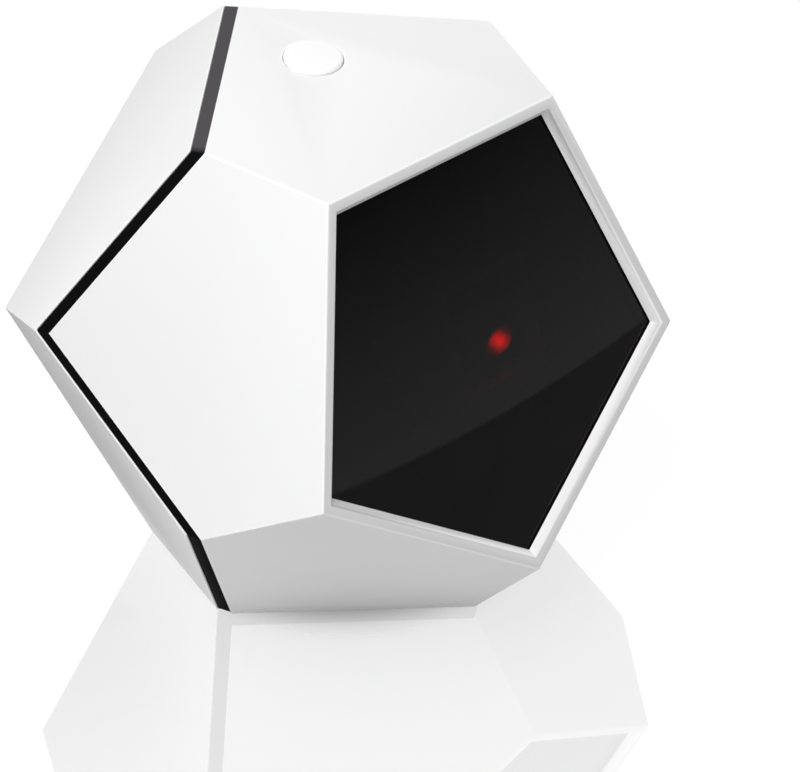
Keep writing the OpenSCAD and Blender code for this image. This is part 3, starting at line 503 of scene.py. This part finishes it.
def sleeve_print(name, way):
    """A slate sleeve with a thin pale ring and a pale band towards the cap. They follow the place
    along x, as a share of the way from the cell's foot to its cap."""
    mat = moulded(name, sleeve_tone, sleeve_shade, grain_mm=0.8, roughness=(0.2, 0.3), bump_mm=0.003)
    nodes, links = mat.node_tree.nodes, mat.node_tree.links
    apart = nodes.new("ShaderNodeSeparateXYZ")
    along = ramp_node(nodes, way * (cap_end - cell_l) / 1000, way * cap_end / 1000)
    stripes = nodes.new("ShaderNodeValToRGB")
    stripes.color_ramp.interpolation = "CONSTANT"
    for at, level in ((ring_from, 1), (ring_to, 0), (band_from, 1)):
        stripes.color_ramp.elements.new(at).color = (level, level, level, 1)
    stripes.color_ramp.elements[0].color = (0, 0, 0, 1)
    stripes.color_ramp.elements[-1].color = (1, 1, 1, 1)
    links.new(nodes["place"].outputs["Object"], apart.inputs[0])
    links.new(apart.outputs["X"], along.inputs["Value"])
    links.new(along.outputs["Result"], stripes.inputs["Fac"])
    laid_over(mat, stripes.outputs["Color"], print_tone)
    return mat


def tube(name, path, r, sides=12):
    """A round tube of radius r along a path of points: at each point a ring in the plane of
    u = tangent x X and v = tangent x u, so the path never runs along x."""
    tangent = np.gradient(path, axis=0)
    tangent /= np.linalg.norm(tangent, axis=1, keepdims=True)
    u = np.cross(tangent, (1.0, 0.0, 0.0))
    u /= np.linalg.norm(u, axis=1, keepdims=True)
    v = np.cross(tangent, u)
    a = np.linspace(0, 2 * np.pi, sides, endpoint=False)[None, :, None]
    return grid_mesh(name, path[:, None] + r * (np.cos(a) * u[:, None] + np.sin(a) * v[:, None]))


# A conical spring of 0.7 mm wire presses on the foot of each cell.
spring_wire, spring_room, spring_turns, spring_foot_r, spring_draw_in = 0.35, 4.0, 5, 2.8, 0.9


def spring_helix(steps=240):
    """The spring's wire in a cell's axes: a helix whose radius shrinks evenly from the strip to
    the cell, and whose rise slows down at both ends, where the turns lie closed."""
    t = np.linspace(0, 1, steps)
    r = spring_foot_r - spring_draw_in * t
    rise = -spring_room + spring_wire + (spring_room - 2 * spring_wire) * t * t * (3 - 2 * t)
    turn = 2 * np.pi * spring_turns * t
    return np.stack([r * np.cos(turn), r * np.sin(turn), rise], axis=-1)


sleeves = {1: sleeve_print("cell_sleeve", 1), -1: sleeve_print("cell_sleeve_turned", -1)}
for node, row, way in (("cell_upper", 1, 1), ("cell_middle", 0, -1), ("cell_lower", -1, 1)):
    can = grid_mesh(f"{node}_can", at_cell(revolved(can_profile), row, way))
    stand_for(can, steel, node)
    wrap = at_cell(revolved(sleeve_outside + sleeve_inside), row, way)
    stand_for(grid_mesh(f"{node}_sleeve", wrap, closed_rows=True), sleeves[way], node)
    spring = tube(f"{node}_spring", at_cell(spring_helix(), row, way), spring_wire, sides=10)
    stand_for(spring, steel, "cell_springs")

# ---- Switch and circuit boards ------------------------------------------------------------------
# Green glass-fibre boards with a faint net of tracks under the lacquer. The upper one carries the
# switch under the button, and the main board the controller and three cream plugs.

board_green, board_shade, track_green = (0.012, 0.12, 0.05), (0.02, 0.15, 0.065), (0.05, 0.24, 0.1)
net_per_m, net_unevenness, track_edge, track_core = 800, 0.35, 0.08, 0.05


def lacquered(name, tone, shade, track):
    """Lacquered board: thin paler lines along the borders of a net of slightly uneven cells,
    which stand for its copper tracks."""
    mat = moulded(name, tone, shade, grain_mm=0.5, roughness=(0.3, 0.4), bump_mm=0.01)
    nodes, links = mat.node_tree.nodes, mat.node_tree.links
    net = nodes.new("ShaderNodeTexVoronoi")
    net.feature = "DISTANCE_TO_EDGE"
    net.inputs["Scale"].default_value = net_per_m
    net.inputs["Randomness"].default_value = net_unevenness
    line = ramp_node(nodes, track_edge, track_core)
    links.new(nodes["place"].outputs["Object"], net.inputs["Vector"])
    links.new(net.outputs["Distance"], line.inputs["Value"])
    laid_over(mat, line.outputs["Result"], track)
    return mat


circuit_board = lacquered("circuit_board", board_green, board_shade, track_green)
black_plastic = moulded("black_plastic", tone=(0.015, 0.015, 0.016), shade=(0.025, 0.025, 0.026),
                        grain_mm=0.2, roughness=(0.4, 0.5), bump_mm=0.01)
plug_cream = moulded("plug_cream", tone=(0.75, 0.7, 0.56), shade=(0.7, 0.65, 0.52), grain_mm=0.3,
                     roughness=(0.4, 0.5), bump_mm=0.008)
finish(circuit_board, "button_board", "main_board", "laser_board")
finish(black_plastic, "controller_chip")
broken_edges(black_plastic, 0.12, "tact_switch", "switch_plunger")
broken_edges(plug_cream, 0.15, "board_plugs")
finish(steel, "button_board_screws", "main_board_screws")

# ---- Mechanism plate and gimbal -----------------------------------------------------------------
# Dark grey glass-filled nylon: a plate across the case on five posts, and a shelf and an arm that
# carry the pan pivots. Two small geared motors in steel cans drive a yoke and a cradle of acetal.

mount_grey = moulded("mount_grey", tone=(0.035, 0.035, 0.038), shade=(0.05, 0.05, 0.053), grain_mm=0.25,
                     roughness=(0.5, 0.6), bump_mm=0.012)
acetal_natural = moulded("acetal_natural", tone=(0.75, 0.72, 0.64), shade=(0.7, 0.67, 0.6), grain_mm=0.4,
                         roughness=(0.35, 0.45), bump_mm=0.006)
brass = metal("brass", tone=(0.72, 0.5, 0.2), shade=(0.62, 0.42, 0.16), roughness=(0.22, 0.34),
              scratch_mm=0.12)
broken_edges(mount_grey, 0.2, "mechanism_plate", "gimbal_base", "gimbal_top_arm")
broken_edges(steel, 0.3, "pan_motor", "tilt_motor")
finish(acetal_natural, "pan_yoke", "tilt_cradle", "pan_sector", "tilt_sector")
finish(brass, "pan_pinion", "tilt_pinion")
finish(steel, "plate_screws", "gimbal_base_screws", "pan_motor_screws", "pan_shaft", "pan_pins",
       "tilt_shaft", "tilt_pins")

# ---- Laser barrel -------------------------------------------------------------------------------
# A turned brass barrel pressed into the cradle, with a groove behind its mouth and a stepped bore
# for the lens and the diode's light.

head_at, aim_down = (9.3, -2.9, -13.5), math.radians(23)
barrel_r, barrel_front, barrel_back, lens_r, lens_seat = 4.0, 5.5, -6.5, 3.0, 3.9
bore_r, bore_foot, groove_at, groove_depth = 1.6, 1.5, 4.7, 0.18
barrel_bore = [(pole_r, bore_foot), (bore_r, bore_foot), (bore_r, lens_seat), (lens_r, lens_seat)]
barrel_mouth = [(lens_r, barrel_front - 0.2), (lens_r + 0.2, barrel_front),
                (barrel_r - 0.25, barrel_front), (barrel_r, barrel_front - 0.25)]
barrel_groove = [(barrel_r, groove_at + 0.25), (barrel_r - groove_depth, groove_at + 0.15),
                 (barrel_r - groove_depth, groove_at - 0.15), (barrel_r, groove_at - 0.25)]
barrel_foot = [(barrel_r, barrel_back + 0.3), (barrel_r - 0.3, barrel_back), (pole_r, barrel_back)]


def at_barrel(p):
    """Axes of the laser's barrel, z out through its lens, to the toy's own axes."""
    x, y, z = np.moveaxis(np.asarray(p, float), -1, 0)
    s, c = math.sin(aim_down), math.cos(aim_down)
    return np.stack([x, y * c - z * s, y * s + z * c], axis=-1) + head_at


barrel = at_barrel(revolved(barrel_bore + barrel_mouth + barrel_groove + barrel_foot))
stand_for(grid_mesh("laser_tube", barrel), brass, "laser_barrel")

# ---- Laser lens ---------------------------------------------------------------------------------
# A moulded dome of red polycarbonate in the barrel's mouth. The diode's light scatters in it, so
# that it glows brightest round its middle and fades towards its rim.

lens_edge, lens_dome, lens_core_h = 0.6, 2.4, 1.4
# Of the glow on the lens's skin and of that in its body: how far it reaches in m, how bright it is
# at the core, and how steeply it falls off
skin_reach, skin_level, skin_power = 0.0034, 4.0, 1.0
body_reach, body_level, body_power = 0.003, 8500.0, 2.0


def math_node(nodes, operation, value=None):
    """A Math node. value is its second number, where that is a fixed one."""
    node = nodes.new("ShaderNodeMath")
    node.operation = operation
    if value is not None:
        node.inputs[1].default_value = value
    return node


def lit_lens(core):
    """Red plastic lit from inside: a faint glow of the skin and a strong one of the body. Each is
    level x fade ^ power, where fade runs smoothly from 1 at the core to 0 at its reach."""
    mat = bpy.data.materials.new("lens_red")
    mat.use_nodes = True
    nodes, links = mat.node_tree.nodes, mat.node_tree.links
    shader = nodes["Principled BSDF"]
    shader.inputs["Base Color"].default_value = (0.3, 0.0, 0.0, 1)
    shader.inputs["Roughness"].default_value = 0.15
    shader.inputs["Alpha"].default_value = 0.35
    shader.inputs["Emission Color"].default_value = (1, 0, 0, 1)
    body = nodes.new("ShaderNodeEmission")
    body.inputs["Color"].default_value = (1, 0, 0, 1)
    place = nodes.new("ShaderNodeTexCoord")
    centred = nodes.new("ShaderNodeMapping")
    centred.inputs["Location"].default_value = tuple(-core)
    from_core = nodes.new("ShaderNodeVectorMath")
    from_core.operation = "LENGTH"
    links.new(place.outputs["Object"], centred.inputs["Vector"])
    links.new(centred.outputs["Vector"], from_core.inputs[0])
    for target, reach, level, power in (
            (shader.inputs["Emission Strength"], skin_reach, skin_level, skin_power),
            (body.inputs["Strength"], body_reach, body_level, body_power)):
        fade = ramp_node(nodes, 0.0, reach, 1.0, 0.0, "SMOOTHSTEP")
        sharper = math_node(nodes, "POWER", power)
        strength = math_node(nodes, "MULTIPLY", level)
        links.new(from_core.outputs["Value"], fade.inputs["Value"])
        links.new(fade.outputs["Result"], sharper.inputs[0])
        links.new(sharper.outputs["Value"], strength.inputs[0])
        links.new(strength.outputs["Value"], target)
    links.new(body.outputs["Emission"], nodes["Material Output"].inputs["Volume"])
    return mat


lens_profile = [(lens_r - 0.05, lens_seat), (lens_r, lens_seat + 0.05)]
lens_profile += [(lens_r * math.cos(a), lens_seat + lens_edge + lens_dome * math.sin(a))
                 for a in np.radians(np.linspace(0, 88, 20))]
lens = grid_mesh("lens_dome", at_barrel(revolved(lens_profile)))
stand_for(lens, lit_lens(stand(at_barrel((0, 0, lens_seat + lens_core_h)))), "laser_lens")

# ---- Leads --------------------------------------------------------------------------------------
# Insulated wires of 1.1 mm in pairs: from the battery strips, the button's board and the pan motor
# to their plugs on the main board. They bend softly where the route turns.

lead_r, lead_bend, lead_apart = 0.55, 3.0, 1.2      # lead_apart is from the middle of a pair to each lead
battery_plug_x, motor_plug_x, plug_foot_y, plug_top_y, plug_z = -6.0, 0.0, 25.95, 30.55, -38.2
strip_tab, slot_y, under_plate_z = (27.5, 6.0, -56.5), 23.45, -46.5
button_joint = (6.5, 38.93, -34.87)
motor_tail, tail_apart = (9.3, -34.4, -28.5), 3.5
motor_run_x, motor_run_z, motor_run_ends = -10.0, -41.8, (-30, 14)


def battery_route(side):
    """From a tab of the battery strips, through the slot in the plate, up to the plug."""
    x, y, z = strip_tab
    plug_x = battery_plug_x + side * lead_apart
    return [(side * x, y, z), (side * x, y, z + 1.5), (plug_x, slot_y, under_plate_z),
            (plug_x, slot_y, plug_z), (plug_x, plug_foot_y, plug_z)]


def button_route(side):
    """From a joint under the button's board down to the top of the plug."""
    x, y, z = button_joint
    x = x + side * lead_apart
    return [(x, y, z), (x, y - 2, z - 0.9), (x, plug_top_y + 1.5, plug_z), (x, plug_top_y, plug_z)]


def motor_route(side):
    """From the tail of the pan motor, up the front of the plate, to the plug."""
    x, y, z = motor_tail
    tail_x = x + side * tail_apart
    run_x, plug_x = motor_run_x + side * lead_apart, motor_plug_x + side * lead_apart
    low_y, high_y = motor_run_ends
    return [(tail_x, y, z), (tail_x, y - 1.2, z), (run_x, low_y, motor_run_z),
            (run_x, high_y, motor_run_z), (plug_x, slot_y + 0.5, plug_z), (plug_x, plug_foot_y, plug_z)]


def softened(corners, bend, steps=8):
    """The route through corners, each inner corner replaced by a parabola that leaves and meets
    its two runs bend mm from it, or at 45 % of a shorter run."""
    p = np.asarray(corners, float)
    run = np.linalg.norm(np.diff(p, axis=0), axis=1)
    t = np.linspace(0, 1, steps)[:, None]
    route = [p[:1]]
    for before, at, after, a, b in zip(p, p[1:], p[2:], run, run[1:]):
        start = at + (before - at) * min(bend / a, 0.45)
        end = at + (after - at) * min(bend / b, 0.45)
        route.append(start * (1 - t) ** 2 + at * 2 * t * (1 - t) + end * t ** 2)
    return np.concatenate(route + [p[-1:]])


def insulation(colour, tone):
    """Soft insulation of one colour, a little darker in places."""
    shade = tuple(0.8 * c for c in tone)
    return moulded(f"lead_{colour}", tone, shade, grain_mm=0.3, roughness=(0.35, 0.45), bump_mm=0.006)


lead_tones = {"red": (0.35, 0.01, 0.01), "black": (0.012, 0.012, 0.013), "grey": (0.12, 0.12, 0.125),
              "white": (0.6, 0.6, 0.6), "blue": (0.01, 0.03, 0.2), "yellow": (0.6, 0.42, 0.03)}
insulations = {colour: insulation(colour, tone) for colour, tone in lead_tones.items()}
for node, route, colours in (("battery_leads", battery_route, ("black", "red")),
                             ("button_leads", button_route, ("white", "grey")),
                             ("motor_leads", motor_route, ("yellow", "blue"))):
    for side, colour in zip((-1, 1), colours):
        lead = tube(f"{node}_{colour}", softened(route(side), lead_bend), lead_r)
        stand_for(lead, insulations[colour], node)

# ---- Table --------------------------------------------------------------------------------------
# A white table top with a weak mirror in it. To the eye it is whiter than it is lit, more so away
# from the toy, so that the toy keeps its soft shadow on a white ground. Near the toy it is greyer than its
# lighting alone makes it: a painted shade round the toy's foot, on top of its real shadow.

table_tone, white_strength = 0.505, 1.18
near_r, far_r, near_white, far_white = 0.021, 0.037, 0.33, 0.8
mirror_from, mirror_to, near_mirror, far_mirror = 0.02, 0.2, 0.29, 0.06


def ray_is(tree, *kinds):
    """A socket that is 1 on a ray of one of the kinds and 0 on all others: the greatest of the
    Light Path's answers."""
    rays = tree.nodes.new("ShaderNodeLightPath")
    answer = rays.outputs[f"Is {kinds[0]} Ray"]
    for kind in kinds[1:]:
        either = math_node(tree.nodes, "MAXIMUM")
        tree.links.new(answer, either.inputs[0])
        tree.links.new(rays.outputs[f"Is {kind} Ray"], either.inputs[1])
        answer = either.outputs["Value"]
    return answer


def white_table():
    """A matt pale top, mixed with plain white for the eye and for reflections, and then with a
    mirror. The share of each follows the distance from the toy's middle."""
    mat = bpy.data.materials.new("white_table")
    mat.use_nodes = True
    nodes, links = mat.node_tree.nodes, mat.node_tree.links
    shader = nodes["Principled BSDF"]
    shader.inputs["Base Color"].default_value = (table_tone, table_tone, table_tone, 1)
    shader.inputs["Roughness"].default_value = 0.5
    shader.inputs["Specular IOR Level"].default_value = 0.0
    white = nodes.new("ShaderNodeEmission")
    white.inputs["Strength"].default_value = white_strength
    mirror = nodes.new("ShaderNodeBsdfGlossy")
    mirror.inputs["Roughness"].default_value = 0.03
    mirror.inputs["Color"].default_value = (1, 1, 1, 1)
    place = nodes.new("ShaderNodeTexCoord")
    from_middle = nodes.new("ShaderNodeVectorMath")
    from_middle.operation = "LENGTH"
    # Less white near the toy: a painted shade round its foot, added to the real shadow there.
    whiter = ramp_node(nodes, near_r, far_r, near_white, far_white, "SMOOTHERSTEP")
    share = math_node(nodes, "MULTIPLY")
    shown = nodes.new("ShaderNodeMixShader")
    polish = ramp_node(nodes, mirror_from, mirror_to, near_mirror, far_mirror, "SMOOTHERSTEP")
    both = nodes.new("ShaderNodeMixShader")
    links.new(place.outputs["Object"], from_middle.inputs[0])
    links.new(from_middle.outputs["Value"], whiter.inputs["Value"])
    links.new(from_middle.outputs["Value"], polish.inputs["Value"])
    links.new(ray_is(mat.node_tree, "Camera", "Glossy"), share.inputs[0])
    links.new(whiter.outputs["Result"], share.inputs[1])
    links.new(share.outputs["Value"], shown.inputs["Fac"])
    links.new(shader.outputs["BSDF"], shown.inputs[1])
    links.new(white.outputs["Emission"], shown.inputs[2])
    links.new(polish.outputs["Result"], both.inputs["Fac"])
    links.new(shown.outputs["Shader"], both.inputs[1])
    links.new(mirror.outputs["BSDF"], both.inputs[2])
    links.new(both.outputs["Shader"], nodes["Material Output"].inputs["Surface"])
    return mat


bpy.ops.mesh.primitive_plane_add(size=6)
floor = bpy.context.object
floor.name = "floor"
floor.data.materials.append(white_table())

# ---- Surround and key light ---------------------------------------------------------------------
# A white surround that lights the toy at a plain level, and one soft box above its left side.

surround_light, surround_shown = 0.392, 1.0
key_spot, key_aim, key_size, key_watts = Vector((-0.554, -0.096, 0.956)), Vector((0, 0, 0.05)), 0.8, 9.7

world = bpy.context.scene.world or bpy.data.worlds.new("world")
bpy.context.scene.world = world
world.use_nodes = True
nodes, links = world.node_tree.nodes, world.node_tree.links
nodes.clear()
pick = nodes.new("ShaderNodeMixShader")
end = nodes.new("ShaderNodeOutputWorld")
for socket, strength in ((1, surround_light), (2, surround_shown)):
    surround = nodes.new("ShaderNodeBackground")
    surround.inputs["Color"].default_value = (1, 1, 1, 1)
    surround.inputs["Strength"].default_value = strength
    links.new(surround.outputs["Background"], pick.inputs[socket])
links.new(ray_is(world.node_tree, "Camera", "Glossy", "Transmission"), pick.inputs["Fac"])
links.new(pick.outputs["Shader"], end.inputs["Surface"])

key = bpy.data.lights.new("key_light", "AREA")
key.size = key_size
key.energy = key_watts
key_holder = bpy.data.objects.new("key_light", key)
key_holder.location = key_spot
key_holder.rotation_euler = (key_aim - key_spot).to_track_quat("-Z", "Y").to_euler()
bpy.context.collection.objects.link(key_holder)

# ---- Flag ---------------------------------------------------------------------------------------
# A sloping dark cloth on the left, which only soft light meets. It keeps the table's light off the
# faces that look down and back.

flag_x, flag_y, flag_z = (-0.045, -0.15), (0.006, 0.2), (0.001, 0.055)

flag_mesh = bpy.data.meshes.new("flag")
flag_mesh.from_pydata([(flag_x[0], flag_y[0], flag_z[0]), (flag_x[0], flag_y[1], flag_z[0]),
                       (flag_x[1], flag_y[1], flag_z[1]), (flag_x[1], flag_y[0], flag_z[1])],
                      [], [(0, 1, 2, 3)])
flag = bpy.data.objects.new("flag", flag_mesh)
bpy.context.collection.objects.link(flag)
flag_cloth = moulded("flag_cloth", tone=(0.03, 0.03, 0.03), shade=(0.02, 0.02, 0.02), grain_mm=0.5,
                     roughness=(0.9, 1.0), bump_mm=0.01)
flag.data.materials.append(flag_cloth)
flag.visible_camera = flag.visible_glossy = flag.visible_shadow = flag.visible_transmission = False

# ---- Reflected screen ---------------------------------------------------------------------------
# A graded screen beside the camera's mirrored line of sight. Only the window reflects it, and shows
# its round lower edge as a soft curve. It fades to nothing towards its own edges.

screen_aim = Vector((0.574, -0.813, -0.098)).normalized()
screen_spot = Vector((0, -0.0354, 0.0605)) + 0.1 * screen_aim
screen_half_w, screen_half_h, fade_from = 0.07, 0.049, 0.88
arc_middle, arc_r, arc_fade, arc_blur = (0.029, 0.260, 0), 0.2767, 0.055, 0.0003
outer_level, arc_level, inner_level = 0.335, 0.7, 0.084
value_a, value_b, value_out = 2, 3, 0       # places of the number sockets on Blender's Mix node


def graded_screen():
    """Light that rises from the inner level to the arc's level over the last arc_fade m inside
    the arc, drops to the outer level past it, and fades out over the last 12 % before each edge."""
    mat = bpy.data.materials.new("graded_screen")
    mat.use_nodes = True
    nodes, links = mat.node_tree.nodes, mat.node_tree.links
    nodes.clear()
    place = nodes.new("ShaderNodeTexCoord")
    from_arc = nodes.new("ShaderNodeVectorMath")
    from_arc.operation = "DISTANCE"
    from_arc.inputs[1].default_value = arc_middle
    rise = ramp_node(nodes, arc_r - arc_fade, arc_r, inner_level, arc_level)
    past_arc = ramp_node(nodes, arc_r - arc_blur, arc_r + arc_blur)
    level = nodes.new("ShaderNodeMix")
    level.inputs[value_b].default_value = outer_level
    glow = nodes.new("ShaderNodeEmission")
    apart = nodes.new("ShaderNodeSeparateXYZ")
    clear = nodes.new("ShaderNodeBsdfTransparent")
    veil = nodes.new("ShaderNodeMixShader")
    end = nodes.new("ShaderNodeOutputMaterial")
    kept = math_node(nodes, "MULTIPLY")
    for axis, half in ((0, screen_half_w), (1, screen_half_h)):
        off_middle = math_node(nodes, "ABSOLUTE")
        edge = ramp_node(nodes, half, half * fade_from, shape="SMOOTHSTEP")
        links.new(apart.outputs[axis], off_middle.inputs[0])
        links.new(off_middle.outputs["Value"], edge.inputs["Value"])
        links.new(edge.outputs["Result"], kept.inputs[axis])
    links.new(place.outputs["Object"], from_arc.inputs[0])
    links.new(place.outputs["Object"], apart.inputs[0])
    links.new(from_arc.outputs["Value"], rise.inputs["Value"])
    links.new(from_arc.outputs["Value"], past_arc.inputs["Value"])
    links.new(past_arc.outputs["Result"], level.inputs["Factor"])
    links.new(rise.outputs["Result"], level.inputs[value_a])
    links.new(level.outputs[value_out], glow.inputs["Strength"])
    links.new(kept.outputs["Value"], veil.inputs["Fac"])
    links.new(clear.outputs["BSDF"], veil.inputs[1])
    links.new(glow.outputs["Emission"], veil.inputs[2])
    links.new(veil.outputs["Shader"], end.inputs["Surface"])
    return mat


bpy.ops.mesh.primitive_plane_add(size=1)
screen = bpy.context.object
screen.name = "reflected_screen"
screen.data.transform(Matrix.Diagonal((2 * screen_half_w, 2 * screen_half_h, 1, 1)))
across = screen_aim.cross(Vector((0, 0, 1))).normalized()
turn = Matrix((across, across.cross(screen_aim), -screen_aim)).transposed()
screen.matrix_world = Matrix.Translation(screen_spot) @ turn.to_4x4()
screen.visible_camera = screen.visible_diffuse = screen.visible_shadow = screen.visible_transmission = False
screen.data.materials.append(graded_screen())
window_only = bpy.data.collections.new("window_only")
window_only.objects.link(window)
screen.light_linking.receiver_collection = window_only

# ---- Camera -------------------------------------------------------------------------------------
# The photograph's view: down from the front left, from 0.6 m away through a long lens.

camera_spot = Vector((-0.3281, -0.3723, 0.3848))
camera_aim = Vector((0.00185, -0.01299, 0.03829))
photo_w, focal_px, sensor_w = 800, 3318.3, 36.0
camera_roll = math.radians(-0.2)

camera = bpy.data.cameras.new("camera")
camera.sensor_width = sensor_w
camera.lens = focal_px / photo_w * sensor_w
camera.clip_start = 0.01
camera_holder = bpy.data.objects.new("camera", camera)
look = (camera_aim - camera_spot).to_track_quat("-Z", "Y").to_matrix() @ Matrix.Rotation(camera_roll, 3, "Z")
camera_holder.matrix_world = Matrix.Translation(camera_spot) @ look.to_4x4()
bpy.context.collection.objects.link(camera_holder)
bpy.context.scene.camera = camera_holder
bpy.context.scene.view_settings.view_transform = "Standard"
